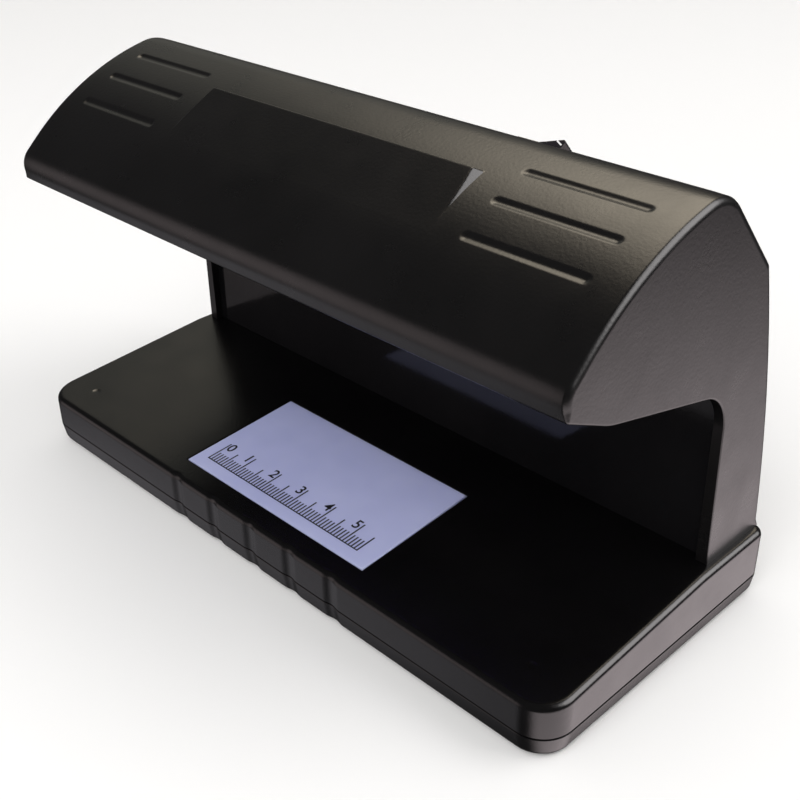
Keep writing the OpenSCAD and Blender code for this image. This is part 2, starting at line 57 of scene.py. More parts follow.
def make_camera():
    az, el = CAMERA_AZIMUTH, CAMERA_ELEVATION
    back = Vector((math.sin(az) * math.cos(el), -math.cos(az) * math.cos(el), math.sin(el)))
    level = back.cross(Vector((0, 0, -1))).normalized()
    rise = back.cross(level)
    right = math.cos(CAMERA_ROLL) * level + math.sin(CAMERA_ROLL) * rise
    up = back.cross(right)
    data = bpy.data.cameras.new("camera")
    data.lens = LENS_MM
    data.sensor_width = SENSOR_MM
    data.clip_start = 0.01
    camera = bpy.data.objects.new("camera", data)
    camera.matrix_world = Matrix.Translation(CAMERA_AT) @ Matrix((right, up, back)).transposed().to_4x4()
    bpy.context.scene.collection.objects.link(camera)
    bpy.context.scene.camera = camera


make_camera()

# ---------------------------------------------------------------- places, in millimetres
deck_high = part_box("base_deck")[1] / MM
cover_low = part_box("base_cover")[0] / MM
hood_low, hood_high = (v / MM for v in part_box("hood_shell"))

FOOT_OUT = cover_low.z
HALF_W = deck_high.x
HALF_D = deck_high.y
COVER_RIM_Z = FOOT_OUT + 4.9
SEAM = 0.2
HOOD_HALF_W = hood_high.x
HOOD_LEAN = math.tan(math.radians(0.85))
LEDGE_Z = hood_low.z
LEDGE_Y = 14.0
DECK_FRONT_Z = 13.25 + FOOT_OUT
DECK_RISE = (LEDGE_Z - DECK_FRONT_Z) / (LEDGE_Y + HALF_D)
DECK_TILT = math.atan(DECK_RISE)
FRONT_R = 8.0
BACK_R = 3.0
TOP_R = 1.5
TOP_STEPS = 6
TOP_MARGIN = 0.3
SEAM_R = 0.2
SEAM_MIDDLE = 0.06
WALL = 2.4
SIDE_EXTRA = 0.3
HAIR = 1e-4
COVER_FOOT = ((1.5, 0.0), (1.2, 0.1), (0.9, 0.4), (0.6, 1.1))
COVER_FLOOR = 2.0
WIRE_SLOT = ((-55, 23.5, 10), (25, 33.5, 25))
SINK_MARK_AT = (78.5, -30.0)
SINK_BALL_R = 5.0
SINK_BALL_RISE = 4.8
GROMMET_GAP = 0.2

FLUTE_COUNT = 5
FLUTE_PITCH = 14.2
FLUTE_HALF_W = 2.7
FLUTE_DEPTH = 0.42
FLUTE_STEPS = 16

WINDOW_W = 64.3
WINDOW_D = 34.4
WINDOW_FRONT = 6.6
WINDOW_GAP = 0.12
WINDOW_CHAMFER = 0.3
PANE_DEPTH = 2.0
PANE_EDGE = 0.35

LIP = (-34.9, 75.6 + FOOT_OUT)
LIP_R = 1.0
NOSE = (-36.1, 80.7 + FOOT_OUT)
NOSE_R = 5.5
SHOULDER = (-16.2, 99.2 + FOOT_OUT)
SHOULDER_R = 72.0
CREST = (10.2, 104.5 + FOOT_OUT)
CREST_R = 11.0
REAR_TOP = (28.1, 84.1 + FOOT_OUT)
REAR_TOP_R = 2.0
REAR_FOOT = (HALF_D, FOOT_OUT)
CHIN = (-22.4, 69.7 + FOOT_OUT)
CHIN_R = 18.0
FOOT_FRONT_Y = 17.6
BAY_CORNER = (FOOT_FRONT_Y - 0.3, 59.5 + FOOT_OUT)
BAY_CORNER_R = 10.5
REAR_BOW = 2.9
HOOD_WALL = 2.2
CHEEK = 2.9
EDGE_R = 1.6
BAY_EDGE_R = 0.4
LIP_EDGE_R = 0.8
EDGE_STEPS = 5
CHEEK_MARGIN = 0.2
LEDGE_SINK = 0.4
CAVITY_LIP_DROP = 14.0
RELIEF_YS = (-32, 4)
FINE_STEP = 0.24
COARSE_STEP = 4.0
CHIN_STEP = 0.6
REAR_OPENING_Y = 27.3
REAR_OPENING_TOP = 80.5 + FOOT_OUT
SWITCH_AT = (37.5, 18.0)
SWITCH_HOLE = ((-6.5, -4.7, -14), (6.5, 4.7, 6))

GROOVE_X = 63.8
GROOVE_YS = (-2.4, -11.2, -19.7)
GROOVE_L = 30.0
GROOVE_R = 1.35
GROOVE_DEPTH = 0.34
PLAQUE_START_Y = -20.5
PLAQUE_REACH = 15.0
PLAQUE_BEVEL = 1.5
PLAQUE_HALF_W = 42.0
BEVEL_SLOPE = 1.1


# ---------------------------------------------------------------- outline helpers
def arc_corner(before, corner, after, radius, steps):
    """Points on the arc that rounds a corner between two straight sides."""
    a, q, b = Vector(before), Vector(corner), Vector(after)
    u, w = (a - q).normalized(), (b - q).normalized()
    half = u.angle(w) / 2
    centre = q + (u + w).normalized() * radius / math.sin(half)
    start, stop = q + u * radius / math.tan(half) - centre, q + w * radius / math.tan(half) - centre
    turn = start.angle_signed(stop)
    return [centre + Matrix.Rotation(-turn * i / steps, 2) @ start for i in range(steps + 1)]


def outline(corners):
    """Closed outline from corners (x, y, radius, steps)."""
    points = []
    for i, (x, y, radius, steps) in enumerate(corners):
        if radius == 0:
            points.append(Vector((x, y)))
        else:
            before, after = corners[i - 1], corners[(i + 1) % len(corners)]
            points += arc_corner(before[:2], (x, y), after[:2], radius, steps)
    return points


def bowed(a, b, depth, steps):
    """Points between a and b on a shallow bow that stands out on the right of the way from a to b."""
    a, b = Vector(a), Vector(b)
    side = Vector((b.y - a.y, a.x - b.x)).normalized()
    return [a.lerp(b, i / steps) + side * 4 * depth * (i / steps) * (1 - i / steps) for i in range(1, steps)]


def inset(points, distance):
    """An anticlockwise closed outline moved inwards."""
    moved = []
    for i, q in enumerate(points):
        a, b = points[i - 1], points[(i + 1) % len(points)]
        m = Vector((a.y - q.y, q.x - a.x)).normalized()
        n = Vector((q.y - b.y, b.x - q.x)).normalized()
        moved.append(q + (m + n) * distance / max(1 + m.dot(n), 0.3))
    return moved


# ---------------------------------------------------------------- mesh helpers
def new_object(name, bm):
    """Puts a mesh into the scene with its faces turned outwards."""
    bmesh.ops.recalc_face_normals(bm, faces=bm.faces)
    if bm.calc_volume(signed=True) < 0:
        bmesh.ops.reverse_faces(bm, faces=bm.faces)
    mesh = bpy.data.meshes.new(name)
    bm.to_mesh(mesh)
    bm.free()
    piece = bpy.data.objects.new(name, mesh)
    bpy.context.scene.collection.objects.link(piece)
    return piece


def loft(name, rings):
    """Closed skin through rings of millimetre points, with a flat cap at each end."""
    bm = bmesh.new()
    rows = [[bm.verts.new(Vector(p) * MM) for p in ring] for ring in rings]
    count = len(rings[0])
    for low, high in zip(rows, rows[1:]):
        for i in range(count):
            j = (i + 1) % count
            bm.faces.new((low[i], low[j], high[j], high[i]))
    bm.faces.new(list(reversed(rows[0])))
    bm.faces.new(rows[-1])
    return new_object(name, bm)


def prism_x(name, points, half_width):
    """Outline in (y, z) extruded across the object."""
    return loft(name, [[(x, p[0], p[1]) for p in points] for x in (-half_width, half_width)])


def block(name, low, high):
    """Box between two opposite corners."""
    x, y, z = low
    far_x, far_y, far_z = high
    return loft(name, [[(x, y, h), (far_x, y, h), (far_x, far_y, h), (x, far_y, h)] for h in (z, far_z)])


def apply_modifiers(piece):
    """Turns a piece's modifiers into its mesh."""
    graph = bpy.context.evaluated_depsgraph_get()
    mesh = bpy.data.meshes.new_from_object(piece.evaluated_get(graph))
    piece.modifiers.clear()
    piece.data = mesh


def cut(piece, tool):
    """Cuts away another solid, which is used up."""
    modifier = piece.modifiers.new("cut", "BOOLEAN")
    modifier.operation = "DIFFERENCE"
    modifier.object = tool
    modifier.solver = "EXACT"
    apply_modifiers(piece)
    bpy.data.objects.remove(tool)


def soften(piece, width, angle=35):
    """Rounds the edges that are sharper than angle."""
    modifier = piece.modifiers.new("soften", "BEVEL")
    modifier.width = width * MM
    modifier.segments = 2
    modifier.limit_method = "ANGLE"
    modifier.angle_limit = math.radians(angle)


def shade(piece, angle):
    """Smooth shading, broken at edges sharper than angle, with flat faces kept flat."""
    mesh = piece.data
    mesh.shade_smooth()
    mesh.set_sharp_from_angle(angle=math.radians(angle))
    modifier = piece.modifiers.new("flat_faces", "WEIGHTED_NORMAL")
    modifier.keep_sharp = True
    modifier.weight = 100


def finish_piece(piece, body, material, slot, *replaced):
    """Gives a piece its body and its material, and hides the CAD nodes that it replaces. The slot is not
    used.
    """
    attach(piece, body)
    piece.data.materials.clear()
    piece.data.materials.append(material)
    if replaced:
        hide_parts(*replaced)


# ---------------------------------------------------------------- materials
def node_material(name, metallic=0.0):
    material = bpy.data.materials.new(name)
    material.use_nodes = True
    tree = material.node_tree
    shader = tree.nodes["Principled BSDF"]
    shader.inputs["Metallic"].default_value = metallic
    return material, tree, shader


def add_node(tree, kind, **settings):
    """New shader node, with its sockets or its properties set by name."""
    node = tree.nodes.new(kind)
    for key, value in settings.items():
        if key in node.inputs:
            node.inputs[key].default_value = value
        else:
            setattr(node, key, value)
    return node


def noise(tree, scale, detail, roughness):
    coordinates = add_node(tree, "ShaderNodeTexCoord")
    texture = add_node(tree, "ShaderNodeTexNoise", Scale=scale, Detail=detail, Roughness=roughness)
    tree.links.new(coordinates.outputs["Object"], texture.inputs["Vector"])
    return texture


def spread(tree, source, low, high):
    """Maps the middle of a texture's values to the range from low to high."""
    ramp = add_node(tree, "ShaderNodeMapRange")
    ramp.inputs["From Min"].default_value = 0.3
    ramp.inputs["From Max"].default_value = 0.7
    ramp.inputs["To Min"].default_value = low
    ramp.inputs["To Max"].default_value = high
    tree.links.new(source, ramp.inputs["Value"])
    return ramp.outputs["Result"]


def blend_colours(tree, source, dark, light):
    """Colour between dark and light, as a texture says."""
    ramp = add_node(tree, "ShaderNodeValToRGB")
    ramp.color_ramp.elements[0].position = 0.35
    ramp.color_ramp.elements[0].color = (*dark, 1)
    ramp.color_ramp.elements[1].position = 0.65
    ramp.color_ramp.elements[1].color = (*light, 1)
    tree.links.new(source, ramp.inputs["Fac"])
    return ramp.outputs["Color"]


def bump(tree, shader, sources, distance):
    """Adds up bumps of the given heights, each source being (output, strength)."""
    normal = None
    for output, strength in sources:
        node = add_node(tree, "ShaderNodeBump", Strength=strength, Distance=distance)
        tree.links.new(output, node.inputs["Height"])
        if normal:
            tree.links.new(normal, node.inputs["Normal"])
        normal = node.outputs["Normal"]
    tree.links.new(normal, shader.inputs["Normal"])


def moulded_plastic(name, dark, light, gloss_low, gloss_high, grain=1400.0, grain_strength=0.12):
    """Moulded plastic: fine grain, slow unevenness, and cloudy colour and gloss."""
    material, tree, shader = node_material(name)
    shader.inputs["IOR"].default_value = 1.5
    clouds = noise(tree, 28.0, 4.0, 0.6)
    tree.links.new(blend_colours(tree, clouds.outputs["Fac"], dark, light), shader.inputs["Base Color"])
    streaks = noise(tree, 90.0, 5.0, 0.65)
    tree.links.new(spread(tree, streaks.outputs["Fac"], gloss_low, gloss_high), shader.inputs["Roughness"])
    fine = noise(tree, grain, 2.0, 0.5)
    slow = noise(tree, 40.0, 1.0, 0.4)
    bump(tree, shader, [(fine.outputs["Fac"], grain_strength), (slow.outputs["Fac"], 0.05)], 0.0002)
    return material


def metal(name, dark, light, gloss_low, gloss_high):
    """Bare metal with cloudy colour and gloss."""
    material, tree, shader = node_material(name, metallic=1.0)
    clouds = noise(tree, 220.0, 4.0, 0.6)
    tree.links.new(blend_colours(tree, clouds.outputs["Fac"], dark, light), shader.inputs["Base Color"])
    streaks = noise(tree, 400.0, 3.0, 0.6)
    tree.links.new(spread(tree, streaks.outputs["Fac"], gloss_low, gloss_high), shader.inputs["Roughness"])
    fine = noise(tree, 900.0, 2.0, 0.5)
    bump(tree, shader, [(fine.outputs["Fac"], 0.08)], 0.0001)
    return material


def opal_acrylic():
    """Opal sheet over a light box: milky and bluish, with light carried a little way inside it."""
    material, tree, shader = node_material("opal_acrylic")
    clouds = noise(tree, 30.0, 3.0, 0.6)
    colour = blend_colours(tree, clouds.outputs["Fac"], (0.43, 0.46, 0.74), (0.49, 0.52, 0.80))
    tree.links.new(colour, shader.inputs["Base Color"])
    shader.inputs["Subsurface Weight"].default_value = 0.35
    shader.inputs["Subsurface Radius"].default_value = (0.004, 0.004, 0.005)
    shader.inputs["Subsurface Scale"].default_value = 0.5
    shader.inputs["IOR"].default_value = 1.49
    streaks = noise(tree, 60.0, 2.0, 0.5)
    tree.links.new(spread(tree, streaks.outputs["Fac"], 0.14, 0.20), shader.inputs["Roughness"])
    slow = noise(tree, 18.0, 1.0, 0.4)
    bump(tree, shader, [(slow.outputs["Fac"], 0.03)], 0.0002)
    return material


def filter_glass():
    """Deep violet glass of a blacklight tube."""
    material, tree, shader = node_material("filter_glass")
    clouds = noise(tree, 60.0, 3.0, 0.5)
    colour = blend_colours(tree, clouds.outputs["Fac"], (0.10, 0.06, 0.30), (0.16, 0.11, 0.42))
    tree.links.new(colour, shader.inputs["Base Color"])
    shader.inputs["Transmission Weight"].default_value = 0.25
    shader.inputs["Coat Weight"].default_value = 0.6
    shader.inputs["Coat Roughness"].default_value = 0.04
    streaks = noise(tree, 120.0, 2.0, 0.5)
    tree.links.new(spread(tree, streaks.outputs["Fac"], 0.07, 0.13), shader.inputs["Roughness"])
    return material


HOOD_PLASTIC = moulded_plastic(
    "hood_plastic", (0.0032, 0.0030, 0.0031), (0.0050, 0.0046, 0.0048), 0.26, 0.33)
DECK_PLASTIC = moulded_plastic(
    "deck_plastic", (0.0014, 0.0013, 0.0015), (0.0026, 0.0024, 0.0026), 0.20, 0.27)
GLOSS_PLASTIC = moulded_plastic(
    "gloss_plastic", (0.0035, 0.0034, 0.0040), (0.0055, 0.0052, 0.0058), 0.08, 0.13, 900.0, 0.04)
SWITCH_PLASTIC = moulded_plastic("switch_plastic", (0.010, 0.009, 0.011), (0.016, 0.014, 0.017), 0.24, 0.32)
WHITE_PLASTIC = moulded_plastic("white_plastic", (0.70, 0.70, 0.67), (0.78, 0.78, 0.75), 0.35, 0.45)
DARK_RUBBER = moulded_plastic(
    "dark_rubber", (0.016, 0.016, 0.016), (0.026, 0.026, 0.026), 0.65, 0.8, 1200.0, 0.3)
# White for the painted highlight on the rocker's front side.
PAINTED_HIGHLIGHT_WHITE = moulded_plastic("painted_highlight_white", (0.72, 0.72, 0.72), (0.85, 0.85, 0.85), 0.35, 0.5)
BLACK_INK = moulded_plastic("black_ink", (0.004, 0.004, 0.006), (0.010, 0.010, 0.014), 0.35, 0.5)
GREEN_BOARD = moulded_plastic("green_board", (0.02, 0.13, 0.05), (0.03, 0.19, 0.08), 0.3, 0.4)
WHITE_BOARD = moulded_plastic("white_board", (0.68, 0.68, 0.64), (0.76, 0.76, 0.72), 0.3, 0.4)
LED_LENS = moulded_plastic("led_lens", (0.72, 0.60, 0.20), (0.82, 0.72, 0.30), 0.2, 0.3)
DARK_CORE = moulded_plastic("dark_core", (0.03, 0.026, 0.024), (0.05, 0.045, 0.04), 0.45, 0.6)
BLUE_SLEEVE = moulded_plastic("blue_sleeve", (0.012, 0.03, 0.09), (0.02, 0.045, 0.13), 0.18, 0.26)
GREEN_TERMINAL = moulded_plastic("green_terminal", (0.02, 0.2, 0.08), (0.03, 0.27, 0.12), 0.35, 0.45)
STEEL = metal("zinc_steel", (0.52, 0.53, 0.55), (0.66, 0.67, 0.69), 0.24, 0.36)
BRIGHT_SHEET = metal("bright_sheet", (0.78, 0.79, 0.81), (0.88, 0.89, 0.90), 0.10, 0.18)
CAP_METAL = metal("cap_metal", (0.66, 0.67, 0.69), (0.76, 0.77, 0.79), 0.26, 0.36)
BRASS = metal("brass_contact", (0.62, 0.46, 0.20), (0.74, 0.58, 0.28), 0.22, 0.34)
OPAL = opal_acrylic()
TUBE_GLASS = filter_glass()


# ---------------------------------------------------------------- hood
def hood_section(lip_drop=0.0, rear_top_r=REAR_TOP_R):
    """Side outline of the hood without its bay, anticlockwise: the foot, then from rear wall to lip."""
    lip = Vector(LIP) + (Vector(LIP) - Vector(NOSE)).normalized() * lip_drop
    corners = [(*REAR_TOP, rear_top_r, 8), (*CREST, CREST_R, 24),
               (*SHOULDER, SHOULDER_R, 40), (*NOSE, NOSE_R, 12)]
    points = outline([(*lip, 0, 0), (FOOT_FRONT_Y, FOOT_OUT, 0, 0), (*REAR_FOOT, 0, 0), *corners])
    wall = bowed(points[2], points[3], REAR_BOW, 32)
    return points[:3], wall + points[3:]


TOP_LINE = [p for p in hood_section()[1] if p.y > CHIN[1] + 12 and p.x < CREST[0]]


def hood_top_z(y):
    """Height of the hood's top at y."""
    for a, b in zip(TOP_LINE, TOP_LINE[1:]):
        if b.x <= y <= a.x:
            return a.y + (b.y - a.y) * (y - a.x) / (b.x - a.x)
    raise ValueError(f"the hood has no top at y = {y}")


def filled_in(points, spacing):
    """An open line with its long steps divided."""
    line = [points[0]]
    for a, b in zip(points, points[1:]):
        count = max(1, math.ceil((b - a).length / spacing))
        line += [a.lerp(b, i / count) for i in range(1, count + 1)]
    return line


def soft_min(a, b, width=0.15):
    """The lower of two values, with the crease between them rounded."""
    share = max(width - abs(a - b), 0) / width
    return min(a, b) - share * share * width / 4


class Relief:
    """The raised plaque and the grooves, as heights over the hood's plain skin."""

    def __init__(self):
        y = PLAQUE_START_Y
        self.start = Vector((y, hood_top_z(y)))
        self.rise = Vector((2, hood_top_z(y + 1) - hood_top_z(y - 1))).normalized()
        self.out = Vector((-self.rise.y, self.rise.x))
        self.grooves = [Vector((y, hood_top_z(y))) for y in GROOVE_YS]

    def plaque(self, x, point):
        """Height of the flat plaque, which stands out where the curved skin falls away under it."""
        along = (point - self.start).dot(self.rise)
        if not -1 < along < PLAQUE_REACH + PLAQUE_BEVEL or abs(x) > PLAQUE_HALF_W or point.y < CHIN[1]:
            return 0.0
        gap = (self.start - point).dot(self.out)
        edge = (PLAQUE_REACH + PLAQUE_BEVEL - along) * BEVEL_SLOPE
        side = (PLAQUE_HALF_W - abs(x)) * BEVEL_SLOPE
        return max(0.0, soft_min(soft_min(gap, edge), side))

    def groove(self, x, point):
        """Depth of the nearest groove."""
        beyond = max(abs(abs(x) - GROOVE_X) - GROOVE_L / 2 + GROOVE_R, 0)
        reach = min((point - g).length_squared for g in self.grooves) + beyond**2
        share = reach / GROOVE_R**2
        return GROOVE_DEPTH * (1 - share) ** 2 if share < 1 else 0.0

    def height(self, x, point):
        return self.plaque(x, point) - self.groove(x, point)


def evenly(start, step, count):
    return [start + i * step for i in range(count)]


def hood_stations():
    """Places across the hood: close together where the plaque and the grooves end."""
    inner, outer = GROOVE_X - GROOVE_L / 2, GROOVE_X + GROOVE_L / 2
    half = [0, 14, 28, 39.5] + evenly(PLAQUE_HALF_W - 2.2, 0.22, 12)
    half += evenly(inner - 0.3, 0.25, 8) + [55, 60, 66, 72]
    half += evenly(outer - 1.5, 0.25, 8) + [82]
    return [-x for x in reversed(half[1:])] + half


def hood_outline():
    """Side outline of the hood with its bay, and the radius of the cheek's edge at each of its points."""
    skin = hood_section()[1]
    foot_z = LEDGE_Z - LEDGE_SINK
    rear_start = next(i for i, p in enumerate(skin) if p.y > LEDGE_Z)
    below, above = skin[rear_start - 1], skin[rear_start]
    heel = below.lerp(above, (foot_z - below.y) / (above.y - below.y))
    outer = skin[rear_start:]
    bay = outline([(*LIP, LIP_R, 4), (*CHIN, CHIN_R, 14), (*BAY_CORNER, BAY_CORNER_R, 14),
                   (FOOT_FRONT_Y, foot_z, 0, 0), (*heel, 0, 0), (*outer[-1], 0, 0)])[:-2]
    upper = []
    for a, b in zip(outer, outer[1:]):
        in_relief = a.y > REAR_TOP[1] + 2 and RELIEF_YS[0] < a.x < RELIEF_YS[1]
        upper += filled_in([a, b], FINE_STEP if in_relief else COARSE_STEP)[:-1]
    chin_line = filled_in([outer[-1], bay[0]], CHIN_STEP)[:-1]
    radii = [LIP_EDGE_R + (BAY_EDGE_R - LIP_EDGE_R) * min(i / 4, 1) for i in range(len(bay))]
    radii += [BAY_EDGE_R] + [EDGE_R] * len(upper)
    radii += [EDGE_R + (LIP_EDGE_R - EDGE_R) * i / len(chin_line) for i in range(len(chin_line))]
    return bay + [heel] + upper + chin_line, radii


def cheek_rings(section, radii, inwards, side):
    """Rings from one cheek's flat outwards over its rounded edge."""
    rings = []
    for margin, angle in [(CHEEK_MARGIN, 0)] + [(0, math.pi / 2 * i / EDGE_STEPS) for i in range(EDGE_STEPS)]:
        ring = []
        for p, r, n in zip(section, radii, inwards):
            q = p + n * (r * (1 - math.sin(angle)) + margin)
            x = HOOD_HALF_W - HOOD_LEAN * (q.y - LEDGE_Z) - r * (1 - math.cos(angle))
            ring.append((side * x, q.x, q.y))
        rings.append(ring)
    return rings


def make_hood():
    section, radii = hood_outline()
    inwards = [b - a for a, b in zip(section, inset(section, 1.0))]
    relief = Relief()
    rings = cheek_rings(section, radii, inwards, -1)
    for x in hood_stations():
        skin = [p - n * relief.height(x, p) for p, n in zip(section, inwards)]
        rings.append([(x, q.x, q.y) for q in skin])
    rings += reversed(cheek_rings(section, radii, inwards, 1))
    hood = loft("hood_shell_skin", rings)
    inner_foot, inner_skin = hood_section(CAVITY_LIP_DROP, HOOD_WALL + 1.0)
    inner = HOOD_HALF_W - CHEEK
    cut(hood, prism_x("space", inset(inner_foot + inner_skin, HOOD_WALL), inner))
    cut(hood, block("rear", (-inner, REAR_OPENING_Y, 0), (inner, REAR_OPENING_Y + 20, REAR_OPENING_TOP)))
    cut(hood, switch_hole())
    shade(hood, 40)
    finish_piece(hood, "housing", HOOD_PLASTIC, "shell_black", "hood_shell")


def slope_frame():
    """Place and turn of the switch on the slope behind the crest."""
    angle = math.atan2(CREST[1] - REAR_TOP[1], REAR_TOP[0] - CREST[0])
    x, y = SWITCH_AT
    z = CREST[1] - (y - CREST[0]) * math.tan(angle)
    return Matrix.Translation(Vector((x, y, z)) * MM) @ Matrix.Rotation(-angle, 4, "X")


def switch_hole():
    hole = block("hole", *SWITCH_HOLE)
    hole.data.transform(slope_frame())
    return hole


# ---------------------------------------------------------------- base
def footprint(shrink=0.0):
    """Outline of the base seen from above, with the soft flutes pressed into its front."""
    x, y = HALF_W, HALF_D
    half = (FLUTE_COUNT - 1) / 2
    front = [Vector((-x + FRONT_R, -y))]
    for i in range(FLUTE_COUNT):
        middle = (i - half) * FLUTE_PITCH
        for k in range(FLUTE_STEPS + 1):
            share = 2 * k / FLUTE_STEPS - 1
            depth = FLUTE_DEPTH * (1 + math.cos(math.pi * share)) / 2
            front.append(Vector((middle + FLUTE_HALF_W * share, -y + depth)))
    corners = outline([(x, -y, FRONT_R, 14), (x, LEDGE_Y, 0, 0), (x, y, BACK_R, 10),
                       (-x, y, BACK_R, 10), (-x, LEDGE_Y, 0, 0), (-x, -y, FRONT_R, 14)])
    points = front + corners
    apart = [p for i, p in enumerate(points) if (p - points[i - 1]).length > 0.02]
    return inset(apart, shrink) if shrink else apart


def deck_z(y):
    """Height of the base's top at y: the slope, then the level ledge."""
    return LEDGE_Z - DECK_RISE * max(LEDGE_Y - y, 0)


def make_deck():
    rings = []
    bottom = COVER_RIM_Z + SEAM
    for shrink, rise in ((SEAM_R, 0.0), (SEAM_MIDDLE, SEAM_MIDDLE), (0.0, SEAM_R)):
        rings.append([(p.x, p.y, bottom + rise) for p in footprint(shrink)])
    for i in range(TOP_STEPS + 1):
        angle = math.pi / 2 * i / TOP_STEPS
        ring = footprint(TOP_R * (1 - math.cos(angle)) + HAIR)
        rings.append([(p.x, p.y, deck_z(p.y) - TOP_R * (1 - math.sin(angle))) for p in ring])
    rings.append([(p.x, p.y, deck_z(p.y)) for p in footprint(TOP_R + TOP_MARGIN)])
    deck = loft("base_deck_skin", rings)
    crease_at_ledge(deck)
    cut(deck, deck_space())
    cut(deck, window_hole())
    cut(deck, block("slot", *WIRE_SLOT))
    for side in (-1, 1):
        cut(deck, sink_mark(side * SINK_MARK_AT[0], SINK_MARK_AT[1]))
    cut(deck, grommet_hole())
    shade(deck, 30)
    finish_piece(deck, "housing", DECK_PLASTIC, "shell_black", "base_deck")


def crease_at_ledge(deck):
    """Adds the edge where the slope meets the ledge."""
    bm = bmesh.new()
    bm.from_mesh(deck.data)
    bmesh.ops.bisect_plane(bm, geom=bm.verts[:] + bm.edges[:] + bm.faces[:], dist=1e-7,
                           plane_co=Vector((0, LEDGE_Y, 0)) * MM, plane_no=(0, 1, 0))
    bm.to_mesh(deck.data)
    bm.free()


def grommet_hole():
    low, high = (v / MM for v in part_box("cord_grommet"))
    radius = (high.x - low.x) / 2 + GROMMET_GAP
    return round_bar((low.x + high.x) / 2, (low.z + high.z) / 2, radius, HALF_D - 6, HALF_D + 2)


def sink_mark(x, y):
    """Ball that presses a shallow dimple into the deck over a screw boss."""
    bm = bmesh.new()
    bmesh.ops.create_uvsphere(bm, u_segments=32, v_segments=24, radius=SINK_BALL_R * MM)
    bmesh.ops.translate(bm, vec=Vector((x, y, deck_z(y) + SINK_BALL_RISE)) * MM, verts=bm.verts)
    return new_object("dimple", bm)


def round_bar(x, z, radius, y_low, y_high, sides=48):
    """Round bar from front to back."""
    turns = [2 * math.pi * i / sides for i in range(sides)]
    rings = []
    for y in (y_low, y_high):
        rings.append([(x + radius * math.cos(t), y, z + radius * math.sin(t)) for t in turns])
    return loft("bar", rings)


def deck_space():
    """Hollow under the deck."""
    x, y = HALF_W - WALL - SIDE_EXTRA, HALF_D - WALL - SIDE_EXTRA
    top = [(-y, deck_z(-y) - WALL), (LEDGE_Y, LEDGE_Z - WALL), (y, LEDGE_Z - WALL)]
    return prism_x("space", [(-y, 0), (y, 0), *reversed(top)], x)


def on_deck(x, along, up):
    """Point in millimetres on the deck's sloping plane, measured back from its front edge."""
    c, s = math.cos(DECK_TILT), math.sin(DECK_TILT)
    return (x, -HALF_D + along * c - up * s, DECK_FRONT_Z + along * s + up * c)


def window_hole():
    half = WINDOW_W / 2 + WINDOW_GAP
    front, back = WINDOW_FRONT - WINDOW_GAP, WINDOW_FRONT + WINDOW_D + WINDOW_GAP
    rings = []
    for up, grow in ((-8, 0), (-0.25, 0), (0.05, WINDOW_CHAMFER), (3, WINDOW_CHAMFER)):
        x, near, far = half + grow, front - grow, back + grow
        rings.append([on_deck(p, a, up) for p, a in ((-x, near), (x, near), (x, far), (-x, far))])
    return loft("hole", rings)


def make_cover():
    levels = [(shrink, FOOT_OUT + rise) for shrink, rise in COVER_FOOT]
    levels += [(0.0, COVER_RIM_Z - SEAM_R), (SEAM_MIDDLE, COVER_RIM_Z - SEAM_MIDDLE), (SEAM_R, COVER_RIM_Z)]
    rings = [[(p.x, p.y, z) for p in footprint(shrink + HAIR)] for shrink, z in levels]
    cover = loft("base_cover_skin", rings)
    hollow = footprint(WALL)
    floor_z = FOOT_OUT + COVER_FLOOR
    cut(cover, loft("space", [[(p.x, p.y, z) for p in hollow] for z in (floor_z, floor_z + 18)]))
    shade(cover, 30)
    finish_piece(cover, "housing", DECK_PLASTIC, "shell_black", "base_cover")


# ---------------------------------------------------------------- window and its ruler
RULER_Y = -28.6
RULER_X = -28.46
RULER_L = 55
TICK_HALF_W = 0.19
RAIL_HALF_W = 0.16
CM_TICK = 7.4
HALF_CM_TICK = 5.6
MM_TICK = 3.3
DIGIT_Y = -23.6
DIGIT_SIZE = 4.2
DIGIT_ASIDE = 1.5
DIGIT_SWELL = 0.06
PRINT_H = 0.03
PRINT_SINK = 0.01


def along_at(y):
    """Distance along the deck's slope for a place y."""
    return (y + HALF_D) / math.cos(DECK_TILT)


def make_window():
    half, front, back = WINDOW_W / 2, WINDOW_FRONT, WINDOW_FRONT + WINDOW_D
    rings = []
    for up, shrink in ((-PANE_DEPTH, 0), (-PANE_EDGE, 0), (-0.1, 0.1), (0.0, PANE_EDGE)):
        x = half - shrink
        rings.append([on_deck(p, a, up) for p, a in ((-x, front + shrink), (x, front + shrink),
                                                     (x, back - shrink), (-x, back - shrink))])
    pane = loft("window_pane", rings)
    shade(pane, 50)
    finish_piece(pane, "housing", OPAL, "window_white", "window_panel")


def print_bar(bm, x_low, x_high, y_low, y_high):
    """Thin printed bar on the window."""
    levels = []
    for up in (-PRINT_SINK, PRINT_H):
        levels.append([bm.verts.new(Vector(on_deck(x, along_at(y), up)) * MM)
                       for x, y in ((x_low, y_low), (x_high, y_low), (x_high, y_high), (x_low, y_high))])
    low, high = levels
    bm.faces.new(list(reversed(low)))
    bm.faces.new(high)
    for i in range(4):
        j = (i + 1) % 4
        bm.faces.new((low[i], low[j], high[j], high[i]))


def make_ruler():
    bm = bmesh.new()
    print_bar(bm, RULER_X - TICK_HALF_W, RULER_X + RULER_L + TICK_HALF_W,
              RULER_Y - RAIL_HALF_W, RULER_Y + RAIL_HALF_W)
    for tick in range(RULER_L + 1):
        length = CM_TICK if tick % 10 == 0 else HALF_CM_TICK if tick % 5 == 0 else MM_TICK
        x = RULER_X + tick
        print_bar(bm, x - TICK_HALF_W, x + TICK_HALF_W, RULER_Y, RULER_Y + length)
    ruler = new_object("ruler_marks", bm)
    finish_piece(ruler, "housing", BLACK_INK, "shell_black")
    for number in range(6):
        make_digit(number)


